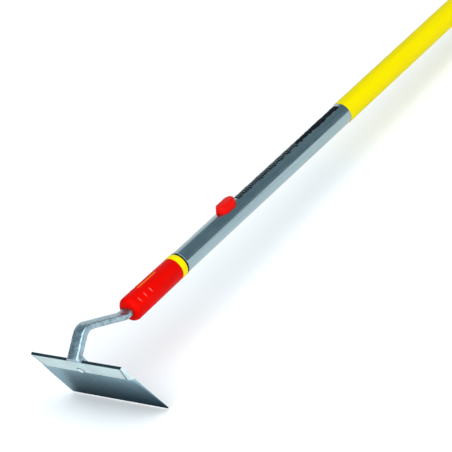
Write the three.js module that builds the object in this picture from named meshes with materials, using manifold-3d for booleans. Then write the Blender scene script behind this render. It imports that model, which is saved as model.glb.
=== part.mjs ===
// A draw hoe with a plug-in head: a flat ground blade on a bent steel neck, whose plastic
// tang plugs into a long aluminium handle and is held by a sprung dome under a release button.
// Millimetres. +X runs along the handle from the head to the end cap, +Y along the cutting
// edge, +Z up through the release button. The handle's axis is y = 0, z = 0 while the pieces
// are made, with x = 0 at the tube's open end. The last lines move the origin to the middle
// of the underside of the whole tool.

import * as THREE from 'three';
import { mergeVertices } from 'three/addons/utils/BufferGeometryUtils.js';
import Module from 'manifold-3d';

const wasm = await Module();
wasm.setup();

// ---- driving dimensions ----
const gap = 0.3;                 // between solids that touch on the real tool

const tubeRadius = 14.5;
const tubeWall = 1.5;
const tubeLength = 1450;
const gripStart = 352.5;         // where the plastic grip sleeve begins
const gripWall = 0.6;

const blade = {
  topX: -202.7, topZ: -1.2,      // front top edge, measured from the tube's end and axis
  lean: THREE.MathUtils.degToRad(25),      // of the upper strip, from upright
  grindLean: THREE.MathUtils.degToRad(3.6),  // how much further the ground part leans
  topWidth: 138.5, edgeWidth: 150,
  strip: 24, ground: 71.3,       // heights of the upper strip and of the ground part
  thick: 3.6, grindDepth: 1, edgeThick: 0.6,
};
const bladeHeight = blade.strip + blade.ground;

const bar = { width: 16, thick: 7.4 };       // the neck's steel bar
const leg = { thick: 9.5, cornerX: -206, cornerZ: 4.4 };   // corner: its outer face ends there
const shank = { width: 12, end: 20 };
const shoulder = { width: 22, height: 6.2, straight: 1.8 };
const foot = { width: 20, thick: 3.2, length: 40, round: 5, front: blade.thick + 0.7 };

const rivet = { down: 20.5, side: 5.5, shaft: 2.6, head: 4.4, proud: 1 };

const tang = { width: 18, height: 14, front: -84, end: 118 };
const plugPin = { radius: 2, x: -40 };

const sleeve = { mouth: -101.5, end: -11.8, mouthRadius: 15.7, endRadius: 15.1, round: 7 };
const ridge = { first: -88, apart: 10.5, height: 0.5, angle: THREE.MathUtils.degToRad(50) };
const ring = { start: -11.6, end: -2.8, radius: 15.3 };
const flange = { start: -2.6, end: -0.1, radius: 15 };
const insertEnd = 140;
const insertWall = 18;           // solid length at the blind end of the socket
const insertRadius = tubeRadius - tubeWall - 0.2;
const insertRivet = { radius: 2, head: 3.6, front: 60, rear: 129, proud: 1 };

const button = {
  x: 103.2, length: 31, width: 16.5, topLength: 28.5, topWidth: 12,
  taper: 0.42, tip: 0.22,        // of its width: how long the tapered ends are, and how wide
  shoulder: 15.4, top: 22.3, bottom: 11.6,
  lip: 1.2, lipWidth: 6, roof: 1.8,
};
const pocketFloor = 9.1;
const snapHole = 3.5;
const snap = { width: 8, thick: 0.6, pin: 3.2, top: 10, front: 62 };
const coil = { radius: 4.2, wire: 0.7, turns: 5 };

const cap = { spigot: 35, radius: 15.8, length: 36, endRadius: 9, hole: 4.5, holeFrom: 14 };

const round = 48;                // sides of a large turned piece
const roundSmall = 24;

// ---- helpers: solids, turned pieces, cuts ----
function solidOf(geometry) {
  const plain = geometry.index ? geometry.toNonIndexed() : geometry.clone();
  plain.deleteAttribute('normal');
  plain.deleteAttribute('uv');
  const merged = mergeVertices(plain, 1e-4);
  return new wasm.Manifold(new wasm.Mesh({
    numProp: 3,
    vertProperties: merged.attributes.position.array,
    triVerts: new Uint32Array(merged.index.array),
  }));
}

function geometryOf(solid) {
  const data = solid.getMesh();
  const geometry = new THREE.BufferGeometry();
  geometry.setAttribute('position', new THREE.BufferAttribute(data.vertProperties, 3));
  geometry.setIndex(new THREE.BufferAttribute(data.triVerts, 1));
  const flat = geometry.toNonIndexed();
  flat.computeVertexNormals();
  return flat;
}

function cut(geometry, ...tools) {
  return geometryOf(tools.reduce((solid, tool) => solid.subtract(solidOf(tool)), solidOf(geometry)));
}

function join(geometry, ...others) {
  return geometryOf(others.reduce((solid, other) => solid.add(solidOf(other)), solidOf(geometry)));
}

// A piece turned about the X axis. The profile is [x, radius] pairs, from low x to high x
// along the outside, and it closes on the axis or, for a tube, on itself.
function turned(profile, sides = round) {
  const points = profile.map(([x, r]) => new THREE.Vector2(r, x));
  return new THREE.LatheGeometry(points, sides).rotateZ(-Math.PI / 2);
}

function box(x0, x1, width, z0, z1) {
  return new THREE.BoxGeometry(x1 - x0, width, z1 - z0).translate((x0 + x1) / 2, 0, (z0 + z1) / 2);
}

function pegZ(radius, x, z0, z1, sides = roundSmall) {
  return new THREE.CylinderGeometry(radius, radius, z1 - z0, sides)
    .rotateX(Math.PI / 2)
    .translate(x, 0, (z0 + z1) / 2);
}

function pegY(radius, x, z, length, sides = roundSmall) {
  return new THREE.CylinderGeometry(radius, radius, length, sides).translate(x, 0, z);
}

function piece(name, geometry, colour, roughness, metalness) {
  const material = new THREE.MeshStandardMaterial({ color: colour, roughness, metalness });
  const mesh = new THREE.Mesh(geometry, material);
  mesh.name = name;
  return mesh;
}

// A body between matching rings of points, with flat ends.
function skin(rings) {
  const count = rings[0].length;
  const positions = rings.flat().flatMap((p) => [p.x, p.y, p.z]);
  const faces = [];
  for (let i = 0; i + 1 < rings.length; i += 1) {
    for (let j = 0; j < count; j += 1) {
      const a = i * count + j;
      const b = i * count + ((j + 1) % count);
      faces.push(a, b, b + count, a, b + count, a + count);
    }
  }
  const last = (rings.length - 1) * count;
  for (let j = 1; j + 1 < count; j += 1) {
    faces.push(0, j + 1, j);
    faces.push(last, last + j, last + j + 1);
  }
  const geometry = new THREE.BufferGeometry();
  geometry.setAttribute('position', new THREE.Float32BufferAttribute(positions, 3));
  geometry.setIndex(faces);
  return geometry.toNonIndexed();
}

// ---- the blade, in its own frame: x back from its front face, z up, 0 at its top edge ----
const bladeFrame = new THREE.Group();
bladeFrame.position.set(blade.topX, 0, blade.topZ);
bladeFrame.rotation.y = -blade.lean;

function bladeGeometry() {
  const lowX = Math.sin(blade.grindLean) * blade.ground;
  const lowZ = -blade.strip - Math.cos(blade.grindLean) * blade.ground;
  const outline = [
    [0, 0],
    [0, -blade.strip],
    [blade.grindDepth, -blade.strip - 2 * blade.grindDepth],
    [lowX, lowZ],
    [lowX + blade.edgeThick, lowZ],
    [blade.thick, -blade.strip],
    [blade.thick, 0],
  ];
  const flare = (blade.edgeWidth - blade.topWidth) / 2 / bladeHeight;
  const side = (sign) => outline.map(([x, z]) => {
    const half = Math.min(blade.topWidth / 2 - z * flare, blade.edgeWidth / 2);
    return new THREE.Vector3(x, sign * half, z);
  });
  const rings = [side(-1), side(1)];
  const flat = outline.map(([x, z]) => new THREE.Vector2(x, z));
  const caps = THREE.ShapeUtils.triangulateShape(flat, []);
  const positions = rings.flat().flatMap((p) => [p.x, p.y, p.z]);
  const count = outline.length;
  const faces = [];
  outline.forEach((point, j) => {
    const next = (j + 1) % count;
    faces.push(j, next + count, next, j, j + count, next + count);
  });
  caps.forEach(([a, b, c]) => faces.push(a, b, c, a + count, c + count, b + count));
  const plate = new THREE.BufferGeometry();
  plate.setAttribute('position', new THREE.Float32BufferAttribute(positions, 3));
  plate.setIndex(faces);
  const hole = new THREE.CylinderGeometry(rivet.shaft + gap, rivet.shaft + gap, 20, roundSmall)
    .rotateZ(Math.PI / 2)
    .translate(0, rivet.side, -rivet.down);
  return cut(plate.toNonIndexed(), hole);
}

// A rivet through the blade and the foot: a dished head in front and a domed one behind.
function bladeRivetGeometry() {
  const back = foot.front + foot.thick + gap;
  return turned([
    [-0.1, 0],
    [-rivet.proud, rivet.head * 0.55],
    [-rivet.proud, rivet.head * 0.75],
    [-gap, rivet.head],
    [-gap, rivet.shaft],
    [back, rivet.shaft],
    [back, rivet.head * 0.85],
    [back + 1.2, rivet.head * 0.6],
    [back + 1.8, 0],
  ], roundSmall).translate(0, rivet.side, -rivet.down);
}

// ---- the neck: a flat bar along its outer face, from the shank through three bends ----
const neckCorners = [
  { at: new THREE.Vector2(shank.end, bar.thick / 2), bend: 0 },
  { at: new THREE.Vector2(-110, bar.thick / 2), bend: 12 },
  { at: new THREE.Vector2(-175.8, 33), bend: 18 },
  { at: new THREE.Vector2(leg.cornerX, leg.cornerZ), bend: 0 },
];

// Points along straight runs joined by arcs, each with the direction of travel there.
function bentPath(corners, stepAngle = THREE.MathUtils.degToRad(7.5), stepLength = 8) {
  const points = [];
  const add = (at, heading) => points.push({ at: at.clone(), heading });
  let from = corners[0].at;
  for (let i = 1; i < corners.length; i += 1) {
    const corner = corners[i].at;
    const into = corner.clone().sub(corners[i - 1].at).normalize();
    const next = corners[i + 1];
    const out = next ? next.at.clone().sub(corner).normalize() : into;
    const turn = Math.atan2(into.cross(out), into.dot(out));
    const back = corners[i].bend * Math.tan(Math.abs(turn) / 2);
    const until = corner.clone().addScaledVector(into, -back);
    const steps = Math.max(1, Math.round(from.distanceTo(until) / stepLength));
    for (let k = i === 1 ? 0 : 1; k <= steps; k += 1) {
      add(from.clone().lerp(until, k / steps), into.angle());
    }
    const arcs = Math.round(Math.abs(turn) / stepAngle);
    const side = new THREE.Vector2(-into.y, into.x).multiplyScalar(Math.sign(turn));
    const centre = until.clone().addScaledVector(side, corners[i].bend);
    for (let k = 1; k <= arcs; k += 1) {
      const angle = turn * k / arcs;
      add(until.clone().rotateAround(centre, angle), into.angle() + angle);
    }
    from = arcs ? points[points.length - 1].at : until;
  }
  return points;
}

function between(value, stations) {
  const after = stations.findIndex(([s]) => s >= value);
  if (after < 0) return stations[stations.length - 1][1];
  if (after === 0) return stations[0][1];
  const [s0, v0] = stations[after - 1];
  const [s1, v1] = stations[after];
  return v0 + (v1 - v0) * (value - s0) / (s1 - s0);
}

// Places along the neck, as distances from the shank's end: the bar widens inside the
// sleeve's mouth and is thicker down the leg.
const widthAt = [[0, shank.width], [104, shank.width], [112, bar.width]];
const thickAt = [[0, bar.thick], [185, bar.thick], [205, leg.thick]];

// The bar with rounded edges. It runs on past the leg's end, and is trimmed there later.
function barGeometry() {
  const corner = 1.8;
  const path = bentPath(neckCorners);
  const end = path[path.length - 1];
  const beyond = new THREE.Vector2(Math.cos(end.heading), Math.sin(end.heading)).multiplyScalar(20);
  path.push({ at: end.at.clone().add(beyond), heading: end.heading });
  let travelled = 0;
  const rings = path.map((point, i) => {
    if (i > 0) travelled += point.at.distanceTo(path[i - 1].at);
    const half = between(travelled, widthAt) / 2;
    const thick = between(travelled, thickAt);
    const inward = new THREE.Vector2(-Math.sin(point.heading), Math.cos(point.heading));
    const ringPoints = [];
    const centres = [[half - corner, corner], [-half + corner, corner],
      [-half + corner, thick - corner], [half - corner, thick - corner]];
    centres.forEach(([y, depth], quarter) => {
      for (let k = 0; k < 4; k += 1) {
        const angle = -Math.PI / 2 * (quarter + k / 3);
        const across = y + corner * Math.cos(angle);
        const deep = depth + corner * Math.sin(angle);
        ringPoints.push(new THREE.Vector3(
          point.at.x + inward.x * deep, across, point.at.y + inward.y * deep));
      }
    });
    return ringPoints.reverse();
  });
  return skin(rings);
}

// From the blade's own frame to the tool's.
function atBlade(geometry) {
  return geometry.rotateY(-blade.lean).translate(blade.topX, 0, blade.topZ);
}

// A slab across the blade's frame, from x0 to x1 back from the blade's front face, whose
// outline is given as [half width, z] from its top to its bottom.
function slab(x0, x1, halves) {
  const right = halves.map(([half, z]) => new THREE.Vector2(half, z));
  const left = halves.map(([half, z]) => new THREE.Vector2(-half, z)).reverse();
  return new THREE.ExtrudeGeometry(new THREE.Shape([...left, ...right]),
    { depth: x1 - x0, bevelEnabled: false })
    .rotateX(Math.PI / 2)
    .rotateZ(Math.PI / 2)
    .translate(x0, 0, 0);
}

// The bar's leg ends in a shoulder that sits on the blade's top edge, flush with its front,
// and in a flat foot behind the blade.
function neckGeometry() {
  const front = -0.3;
  const back = foot.front;
  const shoulderPiece = atBlade(slab(front, back + foot.thick, [
    [bar.width / 2, shoulder.height], [shoulder.width / 2, shoulder.straight],
    [shoulder.width / 2, gap], [shoulder.width / 2 - 0.01, gap - 0.01]]));
  const footPiece = atBlade(slab(back, back + foot.thick, [
    [foot.width / 2, shoulder.straight], [foot.width / 2, foot.round - foot.length],
    [foot.width / 2 - foot.round * 0.3, foot.round * 0.3 - foot.length],
    [foot.width / 2 - foot.round, -foot.length]]));
  const ahead = atBlade(box(-60, front, 60, -60, 60));
  const bladeRoom = atBlade(box(-60, back, 60, -60, gap));
  const below = atBlade(box(-60, back + 0.1, 60, -60, gap));
  const hole = atBlade(new THREE.CylinderGeometry(rivet.shaft + gap, rivet.shaft + gap, 40, roundSmall)
    .rotateZ(Math.PI / 2)
    .translate(0, rivet.side, -rivet.down));
  const pinHole = pegY(plugPin.radius + gap, plugPin.x, 0, 40);
  const trimmed = cut(barGeometry(), ahead, below);
  return cut(join(trimmed, shoulderPiece, footPiece), bladeRoom, hole, pinHole);
}

// ---- the plug: tang, its pin, the sprung dome, the sleeve and the colour ring ----
function tangGeometry() {
  const body = box(tang.front, tang.end, tang.width, -tang.height / 2, tang.height / 2);
  const shankSeat = box(tang.front - 1, shank.end + 1, shank.width + 2 * gap,
    -bar.thick / 2 - gap, bar.thick / 2 + gap);
  const springSlot = box(snap.front - 2, tang.end + 1, snap.width + 2,
    -tang.height / 2 + 1.8, tang.height / 2 - 1.8);
  const domeHole = pegZ(snap.pin + gap, button.x, 0, tang.height);
  const pinHole = pegY(plugPin.radius + gap, plugPin.x, 0, 40);
  return cut(body, shankSeat, springSlot, domeHole, pinHole);
}

function snapSpringGeometry() {
  const low = -tang.height / 2 + 1.8 + gap;
  const high = tang.height / 2 - 1.8 - gap;
  const tail = tang.end - 3;
  const fold = low + snap.thick * 2;
  const shape = new THREE.Shape();
  shape.moveTo(tail, low);
  shape.lineTo(snap.front + 2, low);
  shape.quadraticCurveTo(snap.front, low, snap.front, fold);
  shape.quadraticCurveTo(snap.front, fold + 1, snap.front + 2, fold + 1.4);
  shape.lineTo(button.x - 6, high);
  shape.lineTo(button.x + 6, high);
  shape.lineTo(button.x + 6, high - snap.thick);
  shape.lineTo(button.x - 6, high - snap.thick);
  shape.lineTo(snap.front + 2.2, fold + 0.8);
  shape.quadraticCurveTo(snap.front + snap.thick, fold + 0.5, snap.front + snap.thick, fold);
  shape.quadraticCurveTo(snap.front + snap.thick, low + snap.thick, snap.front + 2, low + snap.thick);
  shape.lineTo(tail, low + snap.thick);
  shape.closePath();
  const leaf = new THREE.ExtrudeGeometry(shape, { depth: snap.width, bevelEnabled: false, curveSegments: 5 })
    .rotateX(Math.PI / 2)
    .translate(0, snap.width / 2, 0);
  const dome = new THREE.LatheGeometry([
    [0, high - 0.4], [snap.pin, high - 0.4], [snap.pin, snap.top - 1.4],
    [snap.pin * 0.8, snap.top - 0.4], [0, snap.top],
  ].map(([r, z]) => new THREE.Vector2(r, z)), roundSmall)
    .rotateX(Math.PI / 2)
    .translate(button.x, 0, 0);
  return join(leaf, dome);
}

function sleeveGeometry() {
  const roundEnd = sleeve.mouth + sleeve.round;
  const mouthFlat = sleeve.mouthRadius - sleeve.round;
  const profile = [[sleeve.mouth, 0], [sleeve.mouth, mouthFlat]];
  for (let k = 1; k <= 6; k += 1) {
    const angle = Math.PI / 2 * k / 6;
    profile.push([roundEnd - sleeve.round * Math.cos(angle),
      mouthFlat + sleeve.round * Math.sin(angle)]);
  }
  profile.push([sleeve.end - 1, sleeve.endRadius], [sleeve.end, sleeve.endRadius - 0.6],
    [sleeve.end, 0]);
  const mouthHole = box(sleeve.mouth - 1, tang.front, bar.width + 1, -bar.thick / 2 - 0.6,
    bar.thick / 2 + 0.6);
  const tangHole = box(tang.front - gap, sleeve.end + 1, tang.width + 2 * gap,
    -tang.height / 2 - gap, tang.height / 2 + gap);
  // three short ridges to pull by, on each side
  const ridges = [];
  for (const side of [-1, 1]) {
    for (let k = 0; k < 3; k += 1) {
      const middle = ridge.first + k * ridge.apart;
      const radius = between(middle, [[sleeve.mouth, sleeve.mouthRadius],
        [sleeve.end, sleeve.endRadius]]);
      ridges.push(new THREE.BoxGeometry(1.6, 6, 2)
        .translate(0, 0, radius + ridge.height - 1)
        .rotateX(-side * ridge.angle)
        .translate(middle, 0, 0));
    }
  }
  return join(cut(turned(profile), mouthHole, tangHole), ...ridges);
}

function colourRingGeometry() {
  const rim = 0.5;
  const body = turned([[ring.start, 0], [ring.start, ring.radius - rim],
    [ring.start + rim, ring.radius], [ring.end - rim, ring.radius],
    [ring.end, ring.radius - rim], [ring.end, 0]]);
  return cut(body, box(ring.start - 1, ring.end + 1, tang.width + 2 * gap,
    -tang.height / 2 - gap, tang.height / 2 + gap));
}

// ---- the handle: tube, socket insert, rivets, grip sleeve, end cap ----
function buttonOutline(length, width) {
  const half = length / 2;
  const straight = half - width * button.taper;
  const tip = width * button.tip;
  return [[-half, -tip], [-straight, -width / 2], [straight, -width / 2], [half, -tip],
    [half, tip], [straight, width / 2], [-straight, width / 2], [-half, tip]];
}

function buttonPrism(length, width, z0, z1) {
  const points = buttonOutline(length, width).map(([x, y]) => new THREE.Vector2(x, y));
  return new THREE.ExtrudeGeometry(new THREE.Shape(points), { depth: z1 - z0, bevelEnabled: false })
    .translate(button.x, 0, z0);
}

function buttonSlot(z0, z1) {
  const slack = 0.7;
  return buttonPrism(button.length + slack, button.width + slack, z0, z1);
}

// Room for a rivet that goes into the underside of the tube and the insert.
function rivetHole(x) {
  return pegZ(insertRivet.radius + gap, x, -tubeRadius - 5, -tubeRadius + 5.2);
}

function tubeGeometry() {
  const chamfer = 0.7;
  const inner = tubeRadius - tubeWall;
  const start = 0.1;
  const body = turned([[start, inner], [start, tubeRadius - chamfer], [start + chamfer, tubeRadius],
    [tubeLength, tubeRadius], [tubeLength, inner], [start, inner]]);
  return cut(body, buttonSlot(0, 30), rivetHole(insertRivet.front), rivetHole(insertRivet.rear));
}

function insertGeometry() {
  const body = turned([[flange.start, 0], [flange.start, flange.radius - 0.3],
    [flange.start + 0.3, flange.radius], [flange.end, flange.radius],
    [flange.end, insertRadius], [insertEnd - 2, insertRadius], [insertEnd, insertRadius - 2],
    [insertEnd, 0]]);
  const socket = box(flange.start - 1, insertEnd - insertWall, tang.width + 2 * gap,
    -tang.height / 2 - gap, tang.height / 2 + gap);
  const lipRoom = box(button.x - button.length / 2 - button.lip - 0.5,
    button.x + button.length / 2 + button.lip + 0.5, button.lipWidth + 0.8, pocketFloor, 20);
  const snapWay = pegZ(snapHole, button.x, 5, 12);
  return cut(body, socket, buttonSlot(pocketFloor, 20), lipRoom, snapWay,
    rivetHole(insertRivet.front), rivetHole(insertRivet.rear));
}

function insertRivetGeometry(x) {
  const inside = 9.6;
  const head = insertRivet.head;
  const seat = tubeRadius + 0.1;
  return new THREE.LatheGeometry([
    [0, inside], [insertRivet.radius, inside], [insertRivet.radius, seat], [head, seat],
    [head * 0.8, seat + insertRivet.proud * 0.6], [0, seat + insertRivet.proud],
  ].map(([r, y]) => new THREE.Vector2(r, y)), roundSmall)
    .rotateX(-Math.PI / 2)
    .translate(x, 0, 0);
}

function gripGeometry() {
  const inner = tubeRadius + 0.15;
  const outer = tubeRadius + gripWall;
  return turned([[gripStart, inner], [gripStart + 0.4, outer], [tubeLength - 1, outer],
    [tubeLength - 1, inner], [gripStart, inner]]);
}

function capGeometry() {
  const start = tubeLength + gap;
  const profile = [[tubeLength - cap.spigot, 0], [tubeLength - cap.spigot, insertRadius - 1.5],
    [tubeLength - cap.spigot + 4, insertRadius], [start, insertRadius],
    [start, cap.radius - 0.8], [start + 0.8, cap.radius], [start + cap.length - 12, cap.radius]];
  const arc = 6;
  for (let k = 1; k <= arc; k += 1) {
    const angle = Math.PI / 2 * k / arc;
    profile.push([start + cap.length - 12 + 12 * Math.sin(angle),
      cap.endRadius + (cap.radius - cap.endRadius) * Math.cos(angle)]);
  }
  profile.push([start + cap.length, 0]);
  return cut(turned(profile), pegY(cap.hole, start + cap.holeFrom, 0, 50));
}

// ---- the release button and its coil spring ----
function buttonGeometry() {
  const base = buttonPrism(button.length, button.width, button.bottom, button.shoulder);
  const low = button.shoulder;
  const ringAt = (length, width, z) => buttonOutline(length, width)
    .map(([x, y]) => new THREE.Vector3(button.x + x, y, z));
  const crown = skin([ringAt(button.length, button.width, low - 0.5),
    ringAt(button.length, button.width, low),
    ringAt(button.topLength, button.topWidth, button.top)]);
  const lips = box(button.x - button.length / 2 - button.lip, button.x + button.length / 2 + button.lip,
    button.lipWidth, button.bottom, 12.5);
  const hollow = pegZ(5.2, button.x, button.bottom - 1, button.top - button.roof);
  const stem = pegZ(2.6, button.x, 10.1, button.top - button.roof + 0.5);
  return join(cut(join(base, crown, lips), hollow), stem);
}

function coilGeometry() {
  const low = pocketFloor + 0.15 + coil.wire / 2;
  const high = button.top - button.roof - 0.15 - coil.wire / 2;
  const points = [];
  const steps = coil.turns * 12;
  for (let k = 0; k <= steps; k += 1) {
    const angle = 2 * Math.PI * k / 12;
    points.push(new THREE.Vector3(button.x + coil.radius * Math.cos(angle),
      coil.radius * Math.sin(angle), low + (high - low) * k / steps));
  }
  const wire = new THREE.Shape();
  wire.absarc(0, 0, coil.wire / 2, 0, 2 * Math.PI);
  return new THREE.ExtrudeGeometry(wire, {
    steps, curveSegments: 3, bevelEnabled: false, extrudePath: new THREE.CatmullRomCurve3(points),
  });
}

// ---- colours ----
const steel = [0xb4c4c8, 0.35, 1.0];
const aluminium = [0xa9b8bf, 0.3, 1.0];
const red = [0xe01006, 0.4, 0.0];
const yellow = [0xf2e40a, 0.45, 0.0];
const black = [0x17181a, 0.55, 0.0];
const springSteel = [0x8f969a, 0.3, 1.0];

// ---- assembly ----
const hoe = new THREE.Group();
bladeFrame.add(
  piece('blade', bladeGeometry(), ...steel),
  piece('blade_rivet', bladeRivetGeometry(), ...steel),
);
hoe.add(
  bladeFrame,
  piece('neck', neckGeometry(), ...steel),
  piece('tang', tangGeometry(), ...black),
  piece('tang_pin', pegY(plugPin.radius, plugPin.x, 0, tang.width - 0.4), ...springSteel),
  piece('snap_spring', snapSpringGeometry(), ...springSteel),
  piece('socket_sleeve', sleeveGeometry(), ...red),
  piece('colour_ring', colourRingGeometry(), ...yellow),
  piece('handle_tube', tubeGeometry(), ...aluminium),
  piece('socket_insert', insertGeometry(), ...black),
  piece('insert_rivet_front', insertRivetGeometry(insertRivet.front), ...aluminium),
  piece('insert_rivet_rear', insertRivetGeometry(insertRivet.rear), ...aluminium),
  piece('grip_sleeve', gripGeometry(), ...yellow),
  piece('end_cap', capGeometry(), ...red),
  piece('release_button', buttonGeometry(), ...red),
  piece('button_spring', coilGeometry(), ...springSteel),
);

const extent = new THREE.Box3().setFromObject(hoe);
const middle = extent.getCenter(new THREE.Vector3());
hoe.position.set(-middle.x, 0, -extent.min.z);

export default hoe;
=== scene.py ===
import math

import bmesh
import bpy
from mathutils import Matrix, Vector


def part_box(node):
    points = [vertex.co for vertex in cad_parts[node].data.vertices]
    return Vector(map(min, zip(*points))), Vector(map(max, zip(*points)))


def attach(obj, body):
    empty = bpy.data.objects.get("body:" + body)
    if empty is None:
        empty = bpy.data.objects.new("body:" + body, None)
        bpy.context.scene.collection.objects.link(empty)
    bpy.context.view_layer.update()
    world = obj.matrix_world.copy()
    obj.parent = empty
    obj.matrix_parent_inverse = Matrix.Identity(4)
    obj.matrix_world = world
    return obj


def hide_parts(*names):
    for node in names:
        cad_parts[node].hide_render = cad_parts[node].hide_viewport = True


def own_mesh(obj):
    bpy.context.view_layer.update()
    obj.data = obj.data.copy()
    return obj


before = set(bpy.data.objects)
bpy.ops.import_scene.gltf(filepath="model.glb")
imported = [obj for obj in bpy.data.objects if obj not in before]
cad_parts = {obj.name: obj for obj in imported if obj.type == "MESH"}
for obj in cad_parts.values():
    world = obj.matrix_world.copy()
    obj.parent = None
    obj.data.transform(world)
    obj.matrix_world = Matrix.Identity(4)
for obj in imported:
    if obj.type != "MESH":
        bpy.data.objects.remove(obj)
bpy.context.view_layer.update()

# ---- Handle tube ----
# A drawn aluminium tube, 29 mm across, clear anodised, with its front edge chamfered and a
# slot milled through its top wall for the release button.
MM = 0.001
tube_low, tube_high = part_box("handle_tube")
TUBE_RADIUS = (tube_high[1] - tube_low[1]) / 2
TUBE_WALL = 1.5 * MM
AXIS_HEIGHT = (tube_low[2] + tube_high[2]) / 2
TUBE_END = tube_low[0]
button_low, button_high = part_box("release_button")
BUTTON_MIDDLE = (button_low[0] + button_high[0]) / 2
BUTTON_LENGTH = 31 * MM
BUTTON_WIDTH = button_high[1] - button_low[1]


def mesh_piece(name, vertices, faces):
    """A new object at the origin, with its place in its mesh and its faces turned outwards."""
    mesh = bpy.data.meshes.new(name)
    mesh.from_pydata(vertices, [], faces)
    work = bmesh.new()
    work.from_mesh(mesh)
    bmesh.ops.recalc_face_normals(work, faces=work.faces)
    work.to_mesh(mesh)
    work.free()
    piece = bpy.data.objects.new(name, mesh)
    bpy.context.scene.collection.objects.link(piece)
    return piece


def turned(name, profile):
    """A piece turned about the handle's axis. The profile is (x, radius) pairs; where it does not
    reach the axis it closes on itself, as a tube does."""
    sides = 128
    solid = profile[0][1] == 0
    vertices, rings = [], []
    for x, radius in profile:
        if radius == 0:
            rings.append([len(vertices)] * sides)
            vertices.append((x, 0, AXIS_HEIGHT))
            continue
        rings.append(range(len(vertices), len(vertices) + sides))
        for k in range(sides):
            angle = 2 * math.pi * k / sides
            vertices.append((x, radius * math.sin(angle), AXIS_HEIGHT + radius * math.cos(angle)))
    faces = []
    for near, far in zip(rings, rings[1:] if solid else rings[1:] + rings[:1]):
        for k in range(sides):
            after = (k + 1) % sides
            corners = [near[k], near[after], far[after], far[k]]
            faces.append(list(dict.fromkeys(corners)))
    return mesh_piece(name, vertices, faces)


def block(x0, x1, width, z0, z1):
    """A plain cutting block, centred on the handle's middle plane, as a scratch object."""
    corners = [(x, y, z) for x in (x0, x1) for y in (-width / 2, width / 2) for z in (z0, z1)]
    faces = [(0, 1, 3, 2), (4, 6, 7, 5), (0, 4, 5, 1), (2, 3, 7, 6), (0, 2, 6, 4), (1, 5, 7, 3)]
    return mesh_piece("cutter", corners, faces)


def apply_modifiers(piece):
    """Turns the piece's live modifiers into its plain mesh."""
    depsgraph = bpy.context.evaluated_depsgraph_get()
    done = bpy.data.meshes.new_from_object(piece.evaluated_get(depsgraph))
    piece.modifiers.clear()
    piece.data = done
    done.name = piece.name


def carve(piece, *cutters):
    """Takes the cutters out of the piece."""
    for cutter in cutters:
        tool = piece.modifiers.new("cut", "BOOLEAN")
        tool.operation = "DIFFERENCE"
        tool.solver = "EXACT"
        tool.object = cutter
        apply_modifiers(piece)
        bpy.data.objects.remove(cutter)


def soften(piece, edge=0.0, angle=35, segments=2):
    """Rounds the sharp edges by that much, and shades the piece smooth but for them."""
    if edge:
        rounding = piece.modifiers.new("rounding", "BEVEL")
        rounding.width = edge
        rounding.segments = segments
        rounding.limit_method = "ANGLE"
        rounding.angle_limit = math.radians(angle)
        apply_modifiers(piece)
    piece.data.shade_smooth()
    piece.data.set_sharp_from_angle(angle=math.radians(angle))


def fit(piece, material, body, slot, *nodes):
    """Gives a finished piece its material, and puts it in the place of its CAD nodes."""
    piece.data.materials.clear()
    piece.data.materials.append(material)
    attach(piece, body)
    if nodes:
        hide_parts(*nodes)


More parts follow.
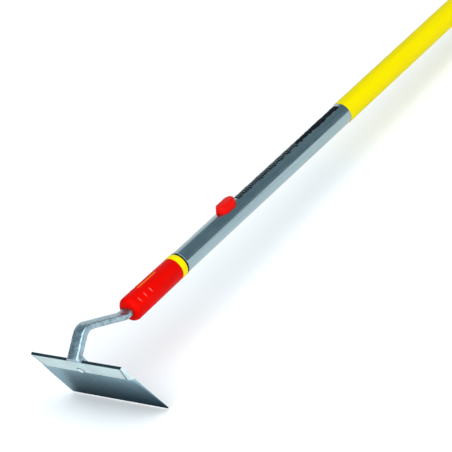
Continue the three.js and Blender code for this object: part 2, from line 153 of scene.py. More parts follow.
class Finish:
    """A surface finish under construction: its material, its shader and its object coordinates."""

    def __init__(self, name, colour, roughness, metallic=0.0, gloss=0.5, edge_tint=1.0):
        self.material = bpy.data.materials.new(name)
        self.material.use_nodes = True
        self.tree = self.material.node_tree
        self.shader = self.tree.nodes["Principled BSDF"]
        self.shader.inputs["Base Color"].default_value = (*colour, 1)
        self.shader.inputs["Roughness"].default_value = roughness
        self.shader.inputs["Metallic"].default_value = metallic
        self.shader.inputs["Specular IOR Level"].default_value = gloss
        self.shader.inputs["Specular Tint"].default_value = (edge_tint, edge_tint, edge_tint, 1)
        self.place = self.node("ShaderNodeTexCoord").outputs["Object"]

    def node(self, kind, **settings):
        made = self.tree.nodes.new(kind)
        for key, value in settings.items():
            setattr(made, key, value)
        return made

    def link(self, output, socket):
        self.tree.links.new(output, socket)

    def stretched(self, scale, location=(0, 0, 0), turn=(0, 0, 0)):
        """Object coordinates seen from that place, turned, and drawn out by the scale."""
        seat = self.node("ShaderNodeMapping", vector_type="TEXTURE")
        seat.inputs["Location"].default_value = location
        seat.inputs["Rotation"].default_value = turn
        seat.inputs["Scale"].default_value = scale
        self.link(self.place, seat.inputs["Vector"])
        return seat.outputs["Vector"]

    def noise(self, vector, scale, detail=4.0, roughness=0.6):
        grain = self.node("ShaderNodeTexNoise")
        grain.inputs["Scale"].default_value = scale
        grain.inputs["Detail"].default_value = detail
        grain.inputs["Roughness"].default_value = roughness
        self.link(vector, grain.inputs["Vector"])
        return grain.outputs["Fac"]

    def spread(self, value, from_low, from_high, to_low, to_high, smooth=False):
        span = self.node("ShaderNodeMapRange")
        span.interpolation_type = "SMOOTHSTEP" if smooth else "LINEAR"
        span.inputs["From Min"].default_value = from_low
        span.inputs["From Max"].default_value = from_high
        span.inputs["To Min"].default_value = to_low
        span.inputs["To Max"].default_value = to_high
        self.link(value, span.inputs["Value"])
        return span.outputs["Result"]

    def mixed(self, factor, one, other):
        """Colour one where the factor is 0 and the other where it is 1. Each is RGB or a socket."""
        blend = self.node("ShaderNodeMix", data_type="RGBA")
        self.link(factor, blend.inputs[0])
        for socket, value in ((blend.inputs[6], one), (blend.inputs[7], other)):
            if isinstance(value, tuple):
                socket.default_value = (*value, 1)
            else:
                self.link(value, socket)
        return blend.outputs[2]

    def math(self, operation, one, other=0.0):
        sum_node = self.node("ShaderNodeMath", operation=operation)
        for socket, value in ((sum_node.inputs[0], one), (sum_node.inputs[1], other)):
            if isinstance(value, (int, float)):
                socket.default_value = value
            else:
                self.link(value, socket)
        return sum_node.outputs[0]

    def parts(self, vector):
        split = self.node("ShaderNodeSeparateXYZ")
        self.link(vector, split.inputs["Vector"])
        return split.outputs["X"], split.outputs["Y"], split.outputs["Z"]

    def within(self, value, middle, reach):
        """1 where the value is no further than the reach from the middle, and 0 elsewhere."""
        near = self.node("ShaderNodeMath", operation="COMPARE")
        near.inputs[1].default_value = middle
        near.inputs[2].default_value = reach
        self.link(value, near.inputs[0])
        return near.outputs[0]

    def bump(self, height, depth, strength):
        relief = self.node("ShaderNodeBump")
        relief.inputs["Strength"].default_value = strength
        relief.inputs["Distance"].default_value = depth
        self.link(height, relief.inputs["Height"])
        self.link(relief.outputs["Normal"], self.shader.inputs["Normal"])

    def colour(self, output):
        self.link(output, self.shader.inputs["Base Color"])

    def roughness(self, output):
        self.link(output, self.shader.inputs["Roughness"])


TICK_PITCH = 4.0 * MM
TICK_GAP = 0.14
TICK_HALF_HEIGHTS = (3.4 * MM, 5.6 * MM)
PRINT_START = 124 * MM
BAND_START = 256 * MM
PRINT_END = 346 * MM


def anodised_tube(name):
    """Fine lines drawn along the tube, a faint cloudiness, and a row of printed ticks that runs
    out into a plain printed band."""
    finish = Finish(name, (0.56, 0.63, 0.66), 0.2, metallic=1.0)
    lines = finish.noise(finish.stretched((90, 1, 1)), 900, detail=3)
    clouds = finish.noise(finish.place, 60, detail=3)
    clean = finish.mixed(finish.spread(lines, 0.35, 0.65, 0, 1), (0.28, 0.375, 0.405),
                         (0.38, 0.48, 0.51))
    seat = finish.stretched((1, 1, 1), location=(TUBE_END, 0, AXIS_HEIGHT))
    along, across, up = finish.parts(seat)
    count = finish.math("DIVIDE", along, TICK_PITCH)
    dice = finish.node("ShaderNodeTexWhiteNoise", noise_dimensions="1D")
    finish.link(finish.math("FLOOR", count), dice.inputs["W"])
    tall = finish.spread(dice.outputs["Value"], 0, 1, *TICK_HALF_HEIGHTS)
    printed = finish.math("LESS_THAN", finish.math("ABSOLUTE", across), tall)
    beyond_ticks = finish.math("GREATER_THAN", along, BAND_START)
    tick = finish.math("GREATER_THAN", finish.math("FRACT", count), TICK_GAP)
    for mask in (finish.math("MAXIMUM", tick, beyond_ticks),
                 finish.math("GREATER_THAN", along, PRINT_START),
                 finish.math("LESS_THAN", along, PRINT_END),
                 finish.math("GREATER_THAN", up, 0.0)):
        printed = finish.math("MULTIPLY", printed, mask)
    finish.colour(finish.mixed(printed, clean, (0.004, 0.006, 0.009)))
    finish.link(finish.math("SUBTRACT", 1.0, printed), finish.shader.inputs["Metallic"])
    finish.link(finish.spread(printed, 0, 1, 0.5, 0.04),
                finish.shader.inputs["Specular IOR Level"])
    finish.roughness(finish.math("MAXIMUM", finish.spread(clouds, 0.3, 0.7, 0.16, 0.26),
                                 finish.math("MULTIPLY", printed, 0.6)))
    finish.bump(lines, 0.02 * MM, strength=0.35)
    return finish.material


def button_outline(length, width):
    """The button's outline from above, with tapered ends, as (x, y) about its middle."""
    half = length / 2
    straight = half - width * 0.42
    tip = width * 0.22
    corners = [(-half, -tip), (-straight, -width / 2), (straight, -width / 2), (half, -tip)]
    return corners + [(x, -y) for x, y in reversed(corners)]


def slot_cutter(outline, low, high):
    """The slot's outline, drawn up between two heights, as a scratch object."""
    count = len(outline)
    vertices = [(BUTTON_MIDDLE + x, y, z) for z in (low, high) for x, y in outline]
    faces = [(j, (j + 1) % count, count + (j + 1) % count, count + j) for j in range(count)]
    faces += [tuple(range(count)), tuple(range(count, 2 * count))]
    return mesh_piece("cutter", vertices, faces)


SLOT_SLACK = 0.7 * MM
CHAMFER = 0.7 * MM
tube = turned("handle_tube_drawn", [
    (TUBE_END, TUBE_RADIUS - TUBE_WALL), (TUBE_END, TUBE_RADIUS - CHAMFER),
    (TUBE_END + 0.15 * MM, TUBE_RADIUS - CHAMFER * 0.6), (TUBE_END + CHAMFER, TUBE_RADIUS),
    (tube_high[0], TUBE_RADIUS), (tube_high[0], TUBE_RADIUS - TUBE_WALL)])
carve(tube, slot_cutter(button_outline(BUTTON_LENGTH + SLOT_SLACK, BUTTON_WIDTH + SLOT_SLACK),
                        AXIS_HEIGHT, AXIS_HEIGHT + 30 * MM))
soften(tube, angle=30)
fit(tube, anodised_tube("anodised_aluminium"), "handle", "tube_aluminium", "handle_tube")

# ---- Socket insert ----
# A black nylon plug pressed into the tube: it holds the tang's square socket and the button's
# pocket, and its flange shows as a thin ring between the tube and the head.


def moulded(name, colour, roughness, gloss, speck=0.10):
    """Moulded plastic: a very fine eggshell texture, slight flow marks and uneven gloss."""
    finish = Finish(name, colour, roughness, gloss=gloss)
    flow = finish.noise(finish.stretched((3, 1, 1)), 45, detail=2)
    shell = finish.noise(finish.place, 2200, detail=2)
    dark = tuple(c * (1 - speck) for c in colour)
    light = tuple(min(1.0, c * (1 + speck)) for c in colour)
    finish.colour(finish.mixed(finish.spread(flow, 0.3, 0.7, 0, 1), dark, light))
    finish.roughness(finish.spread(flow, 0.3, 0.7, roughness - 0.05, roughness + 0.06))
    finish.bump(shell, 0.02 * MM, strength=0.5)
    return finish


def cad_copy(node, name, edge=0.0, angle=35, segments=2):
    """A finished copy of a CAD node: doubles merged, flats made whole and edges rounded."""
    piece = bpy.data.objects.new(name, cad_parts[node].data.copy())
    bpy.context.scene.collection.objects.link(piece)
    work = bmesh.new()
    work.from_mesh(piece.data)
    bmesh.ops.remove_doubles(work, verts=work.verts, dist=0.002 * MM)
    bmesh.ops.dissolve_limit(work, angle_limit=math.radians(0.5), verts=work.verts,
                             edges=work.edges)
    work.to_mesh(piece.data)
    work.free()
    soften(piece, edge, angle, segments)
    return piece


black_plastic = moulded("black_nylon", (0.008, 0.009, 0.011), 0.42, gloss=0.12).material
insert = cad_copy("socket_insert", "socket_insert_moulded", angle=30)
fit(insert, black_plastic, "handle", "black_plastic", "socket_insert")

# ---- Insert rivets ----
# Two aluminium blind rivets, pulled tight through the underside of the tube into the insert. Only
# their low domed heads show.


def new_tree(name, *numbers, **others):
    """An empty Geometry Nodes tree, and its inputs by name: numbers, and sockets of other kinds."""
    tree = bpy.data.node_groups.new(name, "GeometryNodeTree")
    tree.interface.new_socket("Geometry", in_out="OUTPUT", socket_type="NodeSocketGeometry")
    kinds = {label: "NodeSocketFloat" for label in numbers} | others
    for label, kind in kinds.items():
        tree.interface.new_socket(label, in_out="INPUT", socket_type=kind)
    return tree, tree.nodes.new("NodeGroupInput").outputs


def tree_node(tree, kind, inputs, **settings):
    """A node of a tree with its settings made, and a value or links given to each input."""
    made = tree.nodes.new(kind)
    for key, value in settings.items():
        setattr(made, key, value)
    for label, value in inputs.items():
        if isinstance(value, (int, float)):
            made.inputs[label].default_value = value
            continue
        for output in value if isinstance(value, list) else [value]:
            tree.links.new(output, made.inputs[label])
    return made.outputs[0]


def finish_tree(tree, geometry, material):
    """Ends a tree: instances made real, the material set, and the output linked."""
    real = tree_node(tree, "GeometryNodeRealizeInstances", {"Geometry": geometry})
    paint = tree.nodes.new("GeometryNodeSetMaterial")
    paint.inputs["Material"].default_value = material
    tree.links.new(real, paint.inputs["Geometry"])
    out = tree.nodes.new("NodeGroupOutput")
    tree.links.new(paint.outputs["Geometry"], out.inputs["Geometry"])


def rivet_tree(name, material):
    """Geometry Nodes: two domed rivets set head down in a row along X."""
    tree, given = new_tree(name, "Head radius", "Head rise", "Shank radius", "Shank length",
                           "Apart", First="NodeSocketVector")
    head = tree_node(tree, "GeometryNodeMeshUVSphere",
                     {"Segments": 32, "Rings": 16, "Radius": given["Head radius"]})
    ratio = tree_node(tree, "ShaderNodeMath", {0: given["Head rise"], 1: given["Head radius"]},
                      operation="DIVIDE")
    flatten = tree_node(tree, "ShaderNodeCombineXYZ", {"X": 1, "Y": 1, "Z": ratio})
    dome = tree_node(tree, "GeometryNodeTransform", {"Geometry": head, "Scale": flatten})
    shank = tree_node(tree, "GeometryNodeMeshCylinder",
                      {"Vertices": 24, "Radius": given["Shank radius"],
                       "Depth": given["Shank length"]})
    half = tree_node(tree, "ShaderNodeMath", {0: given["Shank length"], 1: 0.5},
                     operation="MULTIPLY")
    lift = tree_node(tree, "ShaderNodeCombineXYZ", {"Z": half})
    stem = tree_node(tree, "GeometryNodeTransform", {"Geometry": shank, "Translation": lift})
    whole = tree_node(tree, "GeometryNodeMeshBoolean", {"Mesh 2": [dome, stem]},
                      operation="UNION")
    step = tree_node(tree, "ShaderNodeCombineXYZ", {"X": given["Apart"]})
    row = tree_node(tree, "GeometryNodeMeshLine",
                    {"Count": 2, "Start Location": given["First"], "Offset": step})
    setting = tree_node(tree, "GeometryNodeInstanceOnPoints", {"Points": row, "Instance": whole})
    finish_tree(tree, setting, material)
    return tree


def grown(name, tree, **sizes):
    """An object whose mesh a Geometry Nodes tree makes from the sizes given by input name."""
    piece = bpy.data.objects.new(name, bpy.data.meshes.new(name))
    bpy.context.scene.collection.objects.link(piece)
    maker = piece.modifiers.new("maker", "NODES")
    maker.node_group = tree
    sockets = {s.name: s.identifier for s in tree.interface.items_tree if s.in_out == "INPUT"}
    for label, value in sizes.items():
        maker[sockets[label.replace("_", " ").capitalize()]] = value
    piece.update_tag()
    apply_modifiers(piece)
    return piece


def plain_metal(name, colour, roughness):
    """Bare metal with fine scuffs in every direction."""
    finish = Finish(name, colour, roughness, metallic=1.0)
    scuffs = finish.noise(finish.place, 500, detail=6, roughness=0.7)
    dark = tuple(c * 0.82 for c in colour)
    finish.colour(finish.mixed(finish.spread(scuffs, 0.35, 0.65, 0, 1), dark, colour))
    finish.roughness(finish.spread(scuffs, 0.3, 0.7, roughness - 0.06, roughness + 0.1))
    finish.bump(scuffs, 0.02 * MM, strength=0.4)
    return finish.material


front_low, front_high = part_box("insert_rivet_front")
rear_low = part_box("insert_rivet_rear")[0]
rivet_metal = plain_metal("rivet_metal", (0.66, 0.68, 0.70), 0.32)
HEAD_RISE = 0.95 * MM
insert_rivets = grown(
    "insert_rivets", rivet_tree("domed_rivets", rivet_metal),
    head_radius=(front_high[1] - front_low[1]) / 2, head_rise=HEAD_RISE,
    shank_radius=2.0 * MM, shank_length=4.5 * MM, apart=rear_low[0] - front_low[0],
    first=((front_low[0] + front_high[0]) / 2, 0, front_low[2] + HEAD_RISE))
soften(insert_rivets, angle=40)
fit(insert_rivets, rivet_metal, "handle", "rivet_aluminium",
    "insert_rivet_front", "insert_rivet_rear")

# ---- Grip sleeve ----
# A thin yellow plastic sleeve shrunk over the tube from the middle of the tool to its end. Its
# front edge is rolled thin against the metal.
grip_low, grip_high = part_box("grip_sleeve")
GRIP_RADIUS = (grip_high[1] - grip_low[1]) / 2
GRIP_BORE = TUBE_RADIUS + 0.15 * MM


def shrunk_sleeve(name):
    """Thin plastic pulled tight on a drawn tube: long faint streaks and a satin gloss."""
    finish = Finish(name, (0.67, 0.55, 0.0004), 0.38, gloss=0.02)
    streaks = finish.noise(finish.stretched((40, 1, 1)), 400, detail=3)
    pebble = finish.noise(finish.place, 1400, detail=3)
    finish.colour(finish.mixed(finish.spread(streaks, 0.3, 0.7, 0, 1), (0.64, 0.525, 0.0002),
                               (0.69, 0.575, 0.0005)))
    finish.roughness(finish.spread(pebble, 0.3, 0.7, 0.3, 0.42))
    finish.bump(pebble, 0.02 * MM, strength=0.4)
    return finish.material


grip = turned("grip_sleeve_shrunk", [
    (grip_low[0], GRIP_BORE), (grip_low[0] + 0.05 * MM, GRIP_BORE + 0.15 * MM),
    (grip_low[0] + 0.5 * MM, GRIP_RADIUS - 0.06 * MM), (grip_low[0] + 1.2 * MM, GRIP_RADIUS),
    (grip_high[0] - 0.3 * MM, GRIP_RADIUS), (grip_high[0], GRIP_RADIUS - 0.2 * MM),
    (grip_high[0], GRIP_BORE)])
soften(grip, angle=40)
fit(grip, shrunk_sleeve("yellow_sleeve"), "handle", "yellow_grip_plastic", "grip_sleeve")

# ---- End cap ----
# A red moulded polypropylene cap, whose spigot is pressed into the tube. A hole across it takes a
# nail or a hook.
RED = {"colour": (0.62, 0.002, 0.0004), "roughness": 0.42, "gloss": 0.025}
cap = cad_copy("end_cap", "end_cap_moulded", edge=0.35 * MM, angle=40)
red_plastic = moulded("red_polypropylene", **RED).material
fit(cap, red_plastic, "handle", "red_plastic", "end_cap")

# ---- Release button ----
# A red moulded button in the tube's slot. Two lips keep it under the tube's wall, and a stem
# inside it presses on the sprung dome.
button_plastic = moulded("red_button_acetal", (0.62, 0.003, 0.001), 0.24, gloss=0.05).material
button = cad_copy("release_button", "release_button_moulded", edge=0.9 * MM, angle=30,
                  segments=3)
fit(button, button_plastic, "button", "red_button_plastic", "release_button")

# ---- Button spring ----
# A small coil of spring wire between the insert's pocket and the button's roof. It is held there
# by its own push, and flattens as the button goes in.
spring_low, spring_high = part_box("button_spring")
WIRE = 0.7 * MM


def coil_tree(name, material):
    """Geometry Nodes: a wire wound into a straight coil that stands on its base point."""
    tree, given = new_tree(name, "Turns", "Coil radius", "Wire radius", "Height",
                           Base="NodeSocketVector")
    spiral = tree_node(tree, "GeometryNodeCurveSpiral",
                       {"Resolution": 28, "Rotations": given["Turns"],
                        "Start Radius": given["Coil radius"], "End Radius": given["Coil radius"],
                        "Height": given["Height"]})
    wire = tree_node(tree, "GeometryNodeCurvePrimitiveCircle",
                     {"Resolution": 10, "Radius": given["Wire radius"]})
    sweep = tree_node(tree, "GeometryNodeCurveToMesh",
                      {"Fill Caps": True, "Curve": spiral, "Profile Curve": wire})
    seat = tree_node(tree, "GeometryNodeTransform",
                     {"Geometry": sweep, "Translation": given["Base"]})
    finish_tree(tree, seat, material)
    return tree


spring_metal = plain_metal("spring_wire", (0.50, 0.52, 0.54), 0.25)
coil = grown(
    "button_coil", coil_tree("wound_coil", spring_metal), turns=5.0,
    coil_radius=(spring_high[1] - spring_low[1]) / 2 - WIRE / 2, wire_radius=WIRE / 2,
    height=spring_high[2] - spring_low[2] - WIRE,
    base=((spring_low[0] + spring_high[0]) / 2, 0, spring_low[2] + WIRE / 2))
soften(coil, angle=50)
fit(coil, spring_metal, "handle", "spring_steel", "button_spring")
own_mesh(coil)

# ---- Neck ----
# A flat steel bar, bent cold in three places and zinc plated. Its leg ends in a forged shoulder
# that sits on the blade's top edge, and a flat foot runs down behind the blade.


def plated_bar(name):
    """Dull zinc plating: cloudy, a little pitted, with darker grain in the pits."""
    finish = Finish(name, (0.40, 0.47, 0.50), 0.34, metallic=1.0, edge_tint=0.8)
    pits = finish.noise(finish.place, 520, detail=5, roughness=0.75)
    clouds = finish.noise(finish.place, 110, detail=4)
    cloudy = finish.mixed(finish.spread(clouds, 0.3, 0.7, 0, 1), (0.25, 0.36, 0.41),
                          (0.49, 0.63, 0.69))
    finish.colour(finish.mixed(finish.spread(pits, 0.50, 0.68, 0, 1), cloudy, (0.07, 0.11, 0.14)))
    finish.roughness(finish.spread(clouds, 0.3, 0.7, 0.28, 0.44))
    finish.bump(pits, 0.08 * MM, strength=0.5)
    return finish.material


neck = cad_copy("neck", "neck_bar", edge=0.9 * MM, angle=40)
fit(neck, plated_bar("zinc_plated_steel"), "head", "neck_steel", "neck")

# ---- Blade ----
# A plate of tool steel with a flat strip along its top, ground thin below it down to the cutting
# edge. The strip keeps its rolled finish and the ground face is polished, with painted reflected
# shade that darkens it towards the cutting edge.
LEAN = math.radians(25)
STRIP = 24 * MM
BLADE_HEIGHT = 95.15 * MM
BLADE_THICKNESS = 3.6 * MM
GRIND_DEPTH = 1.0 * MM
GRIND_LEAN = 4.43 * MM
EDGE_THICKNESS = 0.6 * MM
TOP_HALF = 69.25 * MM
EDGE_HALF = 75.0 * MM
SIDE_GRIND = 8.0 * MM
SIDE_DEPTH = 1.9 * MM
TOP_GRIND = 0.6 * MM
CORNER = 1.2 * MM
blade_low, blade_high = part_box("blade")
BLADE_TOP = (blade_low[0], 0, blade_high[2] - BLADE_THICKNESS * math.sin(LEAN))


def blade_plate(name):
    """The plate, level by level from its top edge to its cutting edge. At each level it has a
    back, two ground side edges and a front that the side grinding narrows towards the crease."""
    ground_top = STRIP + 2 * GRIND_DEPTH
    ground = BLADE_HEIGHT - STRIP

    def half(down):
        return TOP_HALF + (EDGE_HALF - TOP_HALF) * down / BLADE_HEIGHT

    # Each level: how far down it is, how deep its front is and how far that is narrowed by the
    # side grinding, how deep the side edge is, and how far a corner is rounded off.
    levels = [(0, 0, TOP_GRIND, 1.0 * MM, 0), (STRIP, 0, SIDE_GRIND, SIDE_DEPTH, 0),
              (ground_top, GRIND_DEPTH, 1.5 * MM, SIDE_DEPTH, 0)]
    for share in (0.25, 0.5, 0.75, 0.97, 1):
        down = ground_top + (ground - 2 * GRIND_DEPTH) * share
        front = GRIND_DEPTH + (GRIND_LEAN - GRIND_DEPTH) * share
        corner = CORNER if share == 1 else 0
        narrowed = TOP_GRIND * (1 - share) + corner
        levels.append((down, front, narrowed, max(front + 0.1 * MM, SIDE_DEPTH), corner))
    vertices = []
    for down, front, narrowed, side, corner in levels:
        back = BLADE_THICKNESS
        if down > STRIP:
            share = (down - STRIP) / ground
            back += (GRIND_LEAN + EDGE_THICKNESS - BLADE_THICKNESS) * share
        outer = half(down) - corner
        inner = half(down) - narrowed
        ring = [(back, -outer), (side, -outer), (front, -inner), (front, 0), (front, inner),
                (side, outer), (back, outer), (back, 0)]
        vertices += [Vector((x, y, -down)) for x, y in ring]
    count = len(ring)
    faces = [tuple(range(count)), tuple(range(len(vertices) - count, len(vertices)))]
    for upper in range(0, len(vertices) - count, count):
        lower = upper + count
        for j in range(count):
            after = (j + 1) % count
            faces.append((upper + j, upper + after, lower + after, lower + j))
    seat = Matrix.Translation(BLADE_TOP) @ Matrix.Rotation(-LEAN, 4, "Y")
    return mesh_piece(name, [seat @ v for v in vertices], faces)


rivet_low, rivet_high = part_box("blade_rivet")
RIVET_SIDE = (rivet_low[1] + rivet_high[1]) / 2
RIVET_HEAD = (rivet_high[1] - rivet_low[1]) / 2
RIVET_DOWN = 20.5 * MM
TOP_SHADE_DEPTH = 0.12 * MM
# Where the painted lighter reflection towards the blade's +Y end starts and ends, slanting with the
# fall.
REFLECTION_SLANT = 36 * MM
REFLECTION_FROM, REFLECTION_TO = 26 * MM, 50 * MM


def ground_blade(name):
    """The strip is pale and matt, with painted shade on its top edge and a painted shade line along
    its ground sides. The ground face has fine lines square to the cutting edge, and a painted
    reflection of shaded floor darkens it towards that edge, less so towards its +Y end. A painted
    shadow rings the rivet head."""
    finish = Finish(name, (0.55, 0.62, 0.64), 0.3, metallic=1.0, edge_tint=0.42)
    turn = (0, -LEAN, 0)
    depth, along, up = finish.parts(finish.stretched((1, 1, 1), BLADE_TOP, turn))
    grinding = finish.noise(finish.stretched((1, 1, 14), BLADE_TOP, turn), 700, detail=3)
    clouds = finish.noise(finish.place, 40, detail=3)
    below = finish.spread(up, -STRIP - 1.2 * MM, -STRIP - 0.2 * MM, 1, 0)
    fall = finish.spread(up, -STRIP, -BLADE_HEIGHT, 0, 1)
    # Painted reflection: the painted shade fades out towards the blade's +Y end, which stands in
    # for a lighter reflection there.
    slant = finish.math("SUBTRACT", along, finish.math("MULTIPLY", fall, REFLECTION_SLANT))
    painted_reflection_end = finish.spread(slant, REFLECTION_FROM, REFLECTION_TO, 1, 0.1, smooth=True)
    # Painted reflection: the ground face's colour darkens towards the cutting edge, standing in for
    # the shaded floor it reflects.
    painted_reflected_shade = finish.math("MULTIPLY", finish.math("POWER", fall, 0.45), painted_reflection_end)
    strip = finish.mixed(finish.spread(clouds, 0.3, 0.7, 0, 1), (0.66, 0.79, 0.80),
                         (0.73, 0.85, 0.86))
    # The polished ground colour carries the painted reflected shade, from light under the strip to
    # nearly black at the edge.
    polish_and_painted_shade = finish.mixed(painted_reflected_shade, (0.41, 0.62, 0.71), (0.008, 0.036, 0.062))
    streak = finish.math("MULTIPLY", finish.spread(grinding, 0.4, 0.7, 0, 0.3),
                         finish.math("SUBTRACT", 1.0, painted_reflected_shade))
    lined = finish.mixed(streak, polish_and_painted_shade, (0.58, 0.66, 0.68))
    # Painted shade: a thin dark line along the strip's ground side edges, where the side face is in
    # shade.
    inset = finish.spread(up, -STRIP, 0.0, SIDE_GRIND, TOP_GRIND)
    half_here = finish.spread(up, -BLADE_HEIGHT, 0.0, EDGE_HALF, TOP_HALF)
    outwards = finish.math("ADD", finish.math("ABSOLUTE", along), inset)
    off_line = finish.math("SUBTRACT", outwards, half_here)
    side_shade_band = finish.spread(finish.math("ABSOLUTE", off_line), 0.35 * MM, 0.9 * MM, 1, 0)
    side_shade_in_strip = finish.math("MULTIPLY", side_shade_band, finish.math("LESS_THAN", depth, 0.4 * MM))
    # Painted shade: the blade's top edge face is coloured dark.
    painted_top_shade = finish.math("GREATER_THAN", up, -TOP_SHADE_DEPTH)
    # Painted shadow: a dark ring round the rivet head where it meets the plate.
    sideways = finish.math("SUBTRACT", along, RIVET_SIDE)
    downwards = finish.math("ADD", up, RIVET_DOWN)
    from_rivet = finish.math("SQRT", finish.math("ADD", finish.math("MULTIPLY", sideways, sideways),
                                                 finish.math("MULTIPLY", downwards, downwards)))
    painted_rivet_shadow = finish.spread(from_rivet, RIVET_HEAD + 0.4 * MM, RIVET_HEAD + 1.3 * MM, 0.95, 0)
    painted_side_shade = finish.math("MULTIPLY", side_shade_in_strip, finish.math("SUBTRACT", 1.0, below))
    # The painted shade marks together (top edge, side lines and rivet ring) are coloured one dark
    # teal.
    dark = finish.math("MAXIMUM", finish.math("MAXIMUM", painted_side_shade, painted_top_shade), painted_rivet_shadow)
    finish.colour(finish.mixed(dark, finish.mixed(below, strip, lined), (0.045, 0.08, 0.10)))
    matt = finish.spread(clouds, 0.3, 0.7, 0.42, 0.5)
    finish.roughness(finish.math("SUBTRACT", matt, finish.math("MULTIPLY", below, 0.16)))
    finish.bump(grinding, 0.015 * MM, strength=0.4)
    return finish.material


blade = blade_plate("blade_plate")
soften(blade, edge=0.18 * MM, angle=14)
fit(blade, ground_blade("ground_tool_steel"), "head", "blade_steel", "blade")

# ---- Blade rivet ----
# A steel rivet that holds the neck's foot to the blade, set cold with a small dished head in
# front of the blade and a dome behind the foot.
blade_rivet = cad_copy("blade_rivet", "blade_rivet_set", edge=0.2 * MM, angle=40)
rivet_steel = plain_metal("rivet_steel", (0.72, 0.84, 0.87), 0.22)
fit(blade_rivet, rivet_steel, "head", "blade_steel", "blade_rivet")

# ---- Tang, its pin and the sprung dome ----
# A black nylon tang moulded round the neck's shank and pinned to it. A folded leaf spring in its
# slot carries the dome that snaps up into the socket's hole.
tang = cad_copy("tang", "tang_moulded", edge=0.3 * MM, angle=40)
fit(tang, black_plastic, "head", "black_plastic", "tang")
pin = cad_copy("tang_pin", "tang_pin_steel", edge=0.3 * MM, angle=40)
fit(pin, spring_metal, "head", "spring_steel", "tang_pin")
snap = cad_copy("snap_spring", "snap_spring_folded", edge=0.12 * MM, angle=40)
fit(snap, spring_metal, "head", "spring_steel", "snap_spring")
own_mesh(snap)

# ---- Socket sleeve ----
# A red moulded sleeve round the tang, with a rounded mouth that the neck comes out of and three
# low finger ridges on each side to pull the head out by.
sleeve_low, sleeve_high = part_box("socket_sleeve")
SLEEVE_FRONT = sleeve_low[0]
SLEEVE_BACK = sleeve_high[0]
MOUTH_RADIUS = 15.7 * MM
BACK_RADIUS = 15.1 * MM
MOUTH_ROUND = 7 * MM
ARC_STEPS = 12
profile = [(SLEEVE_FRONT, 0)]
for step in range(ARC_STEPS + 1):
    angle = math.pi / 2 * step / ARC_STEPS
    profile.append((SLEEVE_FRONT + MOUTH_ROUND * (1 - math.cos(angle)),
                    MOUTH_RADIUS - MOUTH_ROUND * (1 - math.sin(angle))))
profile += [(SLEEVE_BACK - 0.6 * MM, BACK_RADIUS),
            (SLEEVE_BACK - 0.2 * MM, BACK_RADIUS - 0.15 * MM),
            (SLEEVE_BACK, BACK_RADIUS - 0.5 * MM), (SLEEVE_BACK, 0)]
sleeve = turned("socket_sleeve_moulded", profile)
TANG_WIDTH, TANG_HEIGHT = 18.6 * MM, 14.6 * MM
BAR_WIDTH, BAR_HEIGHT = 17 * MM, 8.6 * MM
TANG_SLACK = 0.3 * MM
tang_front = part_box("tang")[0][0]
carve(sleeve,
      block(SLEEVE_FRONT - 5 * MM, tang_front + MM, BAR_WIDTH,
            AXIS_HEIGHT - BAR_HEIGHT / 2, AXIS_HEIGHT + BAR_HEIGHT / 2),
      block(tang_front - TANG_SLACK, SLEEVE_BACK + 5 * MM, TANG_WIDTH,
            AXIS_HEIGHT - TANG_HEIGHT / 2, AXIS_HEIGHT + TANG_HEIGHT / 2))
soften(sleeve, angle=40)


STRIPE_MIDDLE = SLEEVE_FRONT + 44 * MM
STRIPE_HALF_LENGTH = 17 * MM
STRIPE_HALF_WIDTH = 1.2 * MM


def striped_plastic(name):
    """The sleeve's red plastic, with one plain orange stripe printed along its top."""
    finish = moulded(name, **RED)
    plain = finish.shader.inputs["Base Color"].links[0].from_socket
    along, across, up = finish.parts(finish.place)
    stripe = finish.math("MULTIPLY", finish.within(along, STRIPE_MIDDLE, STRIPE_HALF_LENGTH),
                         finish.within(across, 0, STRIPE_HALF_WIDTH))
    on_top = finish.within(up, AXIS_HEIGHT + MOUTH_RADIUS, 5 * MM)
    stripe = finish.math("MULTIPLY", stripe, on_top)
    finish.colour(finish.mixed(stripe, plain, (0.75, 0.14, 0.004)))
    return finish.material


fit(sleeve, striped_plastic("red_polypropylene_striped"), "head", "red_plastic", "socket_sleeve")


def ridge_tree(name, material):
    """Geometry Nodes: a row of low rounded ridges along X, rolled round the handle's axis."""
    tree, given = new_tree(name, "Apart", "Length", "Radius", "Out", "Roll", "First x",
                           "Axis height", Count="NodeSocketInt")
    bead = tree_node(tree, "GeometryNodeMeshUVSphere",
                     {"Segments": 24, "Rings": 12, "Radius": given["Radius"]})
    across = tree_node(tree, "ShaderNodeMath", {0: given["Radius"], 1: 2.0},
                       operation="MULTIPLY")
    drawn_out = tree_node(tree, "ShaderNodeMath", {0: given["Length"], 1: across},
                          operation="DIVIDE")
    shape = tree_node(tree, "ShaderNodeCombineXYZ", {"X": 1, "Y": drawn_out, "Z": 1})
    long_bead = tree_node(tree, "GeometryNodeTransform", {"Geometry": bead, "Scale": shape})
    start = tree_node(tree, "ShaderNodeCombineXYZ", {"X": given["First x"], "Z": given["Out"]})
    step = tree_node(tree, "ShaderNodeCombineXYZ", {"X": given["Apart"]})
    row = tree_node(tree, "GeometryNodeMeshLine",
                    {"Count": given["Count"], "Start Location": start, "Offset": step})
    setting = tree_node(tree, "GeometryNodeInstanceOnPoints",
                        {"Points": row, "Instance": long_bead})
    turn_by = tree_node(tree, "ShaderNodeCombineXYZ", {"X": given["Roll"]})
    raise_by = tree_node(tree, "ShaderNodeCombineXYZ", {"Z": given["Axis height"]})
    rolled = tree_node(tree, "GeometryNodeTransform",
                       {"Geometry": setting, "Rotation": turn_by, "Translation": raise_by})
    finish_tree(tree, rolled, material)
    return tree


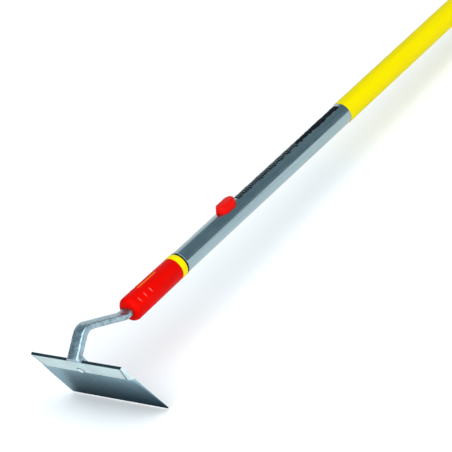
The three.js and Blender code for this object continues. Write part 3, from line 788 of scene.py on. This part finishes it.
RIDGE_PITCH = 10.5 * MM
RIDGE_LENGTH = 7 * MM
RIDGE_RADIUS = 1.1 * MM
RIDGE_SUNK = 0.75 * MM
FIRST_RIDGE = SLEEVE_FRONT + 13.5 * MM
ridge_plastic = moulded("red_polypropylene_worn_smooth", (0.72, 0.01, 0.006), 0.2,
                        gloss=0.9).material
ridges = ridge_tree("finger_ridges", ridge_plastic)
for side, roll in (("near", 50), ("far", -50)):
    ridge_row = grown(
        f"finger_ridges_{side}", ridges, count=3, apart=RIDGE_PITCH, length=RIDGE_LENGTH,
        radius=RIDGE_RADIUS, out=MOUTH_RADIUS - RIDGE_SUNK, roll=math.radians(roll),
        first_x=FIRST_RIDGE, axis_height=AXIS_HEIGHT)
    soften(ridge_row, angle=60)
    fit(ridge_row, ridge_plastic, "head", "red_plastic")

# ---- Colour ring ----
# A yellow moulded polypropylene ring that marks the fitting. It is pushed over the tang and sits
# between the sleeve and the tube.
ring_low, ring_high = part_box("colour_ring")
RING_RADIUS = (ring_high[1] - ring_low[1]) / 2
RIM = 0.5 * MM
ring = turned("colour_ring_moulded", [
    (ring_low[0], 0), (ring_low[0], RING_RADIUS - RIM),
    (ring_low[0] + RIM * 0.3, RING_RADIUS - RIM * 0.3), (ring_low[0] + RIM, RING_RADIUS),
    (ring_high[0] - RIM, RING_RADIUS), (ring_high[0] - RIM * 0.3, RING_RADIUS - RIM * 0.3),
    (ring_high[0], RING_RADIUS - RIM), (ring_high[0], 0)])
carve(ring, block(ring_low[0] - MM, ring_high[0] + MM, TANG_WIDTH, AXIS_HEIGHT - TANG_HEIGHT / 2,
                  AXIS_HEIGHT + TANG_HEIGHT / 2))
soften(ring, angle=40)
yellow_plastic = moulded("yellow_polypropylene", (0.76, 0.62, 0.001), 0.38, gloss=0.04,
                         speck=0.05).material
fit(ring, yellow_plastic, "head", "yellow_ring_plastic", "colour_ring")

# ---- Floor, light and camera ----
# The tool lies on a pale floor, on its cutting edge and the underside of its end cap, in soft
# light from above and in front, with a dark ceiling over it.
cap_low, cap_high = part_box("end_cap")
FLOOR_REACH = 14.0
FLOOR_DROP = 0.4 * MM
CAP_ROUND = 12 * MM
edge_x = blade_high[0] - EDGE_THICKNESS
rest_x = cap_high[0] - CAP_ROUND
floor_slope = cap_low[2] / (rest_x - edge_x)
floor_corners = [(x, y, (x - edge_x) * floor_slope - FLOOR_DROP)
                 for x, y in ((-FLOOR_REACH, -FLOOR_REACH), (FLOOR_REACH, -FLOOR_REACH),
                              (FLOOR_REACH, FLOOR_REACH), (-FLOOR_REACH, FLOOR_REACH))]
floor = mesh_piece("studio_floor", floor_corners, [(0, 1, 2, 3)])
paper = Finish("pale_paper", (0.9, 0.9, 0.9), 0.9, gloss=0.0)
cloudy_paper = paper.noise(paper.place, 3, detail=2)
paper.colour(paper.mixed(cloudy_paper, (0.89, 0.89, 0.89), (0.91, 0.91, 0.91)))
floor.data.materials.append(paper.material)

world = bpy.data.worlds.new("studio")
world.use_nodes = True
bpy.context.scene.world = world
sky = world.node_tree
background = sky.nodes["Background"]
split = sky.nodes.new("ShaderNodeSeparateXYZ")
sky.links.new(sky.nodes.new("ShaderNodeTexCoord").outputs["Generated"], split.inputs["Vector"])


def sky_span(value, from_low, from_high, to_low, to_high):
    """A smooth step over one of the sky's directions."""
    span = sky.nodes.new("ShaderNodeMapRange")
    span.interpolation_type = "SMOOTHSTEP"
    span.inputs["From Min"].default_value = from_low
    span.inputs["From Max"].default_value = from_high
    span.inputs["To Min"].default_value = to_low
    span.inputs["To Max"].default_value = to_high
    sky.links.new(value, span.inputs["Value"])
    return span.outputs["Result"]


# A pale band along the horizon that rises to half the sky's height towards +X and +Y, and the
# dark ceiling above it.
wall_side = sky_span(split.outputs["Y"], -0.25, 0.35, 0.0, 0.5)
wall_end = sky_span(split.outputs["X"], 0.1, 0.45, 0.0, 1.0)
wall_top = tree_node(sky, "ShaderNodeMath", {0: wall_side, 1: wall_end}, operation="MULTIPLY")
above_wall = tree_node(sky, "ShaderNodeMath", {0: split.outputs["Z"], 1: wall_top},
                       operation="SUBTRACT")
ceiling = sky_span(above_wall, 0.06, 0.14, 0, 1)
tone = sky.nodes.new("ShaderNodeMix")
tone.data_type = "RGBA"
tone.inputs[6].default_value = (1.0, 1.0, 1.0, 1)
tone.inputs[7].default_value = (0.21, 0.285, 0.33, 1)
sky.links.new(ceiling, tone.inputs[0])
sky.links.new(tone.outputs[2], background.inputs["Color"])
background.inputs["Strength"].default_value = 1.0

key_data = bpy.data.lights.new("key", "SUN")
key_data.energy = 4.0
key_data.angle = math.radians(95)
key = bpy.data.objects.new("key", key_data)
bpy.context.scene.collection.objects.link(key)
key.rotation_euler = Vector((-0.5, -0.5, 0.72)).to_track_quat("Z", "Y").to_euler()

camera_data = bpy.data.cameras.new("camera")
camera_data.sensor_width = 36
camera_data.lens = 199.1
camera_data.clip_end = 100
camera = bpy.data.objects.new("camera", camera_data)
bpy.context.scene.collection.objects.link(camera)
across = Vector((0.5742, -0.7691, -0.2807))
upward = Vector((0.5331, 0.0911, 0.8412))
backward = across.cross(upward)
stand = Vector((TUBE_END - 1.7812, -1.9088, AXIS_HEIGHT + 1.3890))
turn = Matrix((across, upward, backward)).transposed().to_4x4()
camera.matrix_world = Matrix.Translation(stand) @ turn
bpy.context.scene.camera = camera
bpy.context.scene.view_settings.view_transform = "Standard"
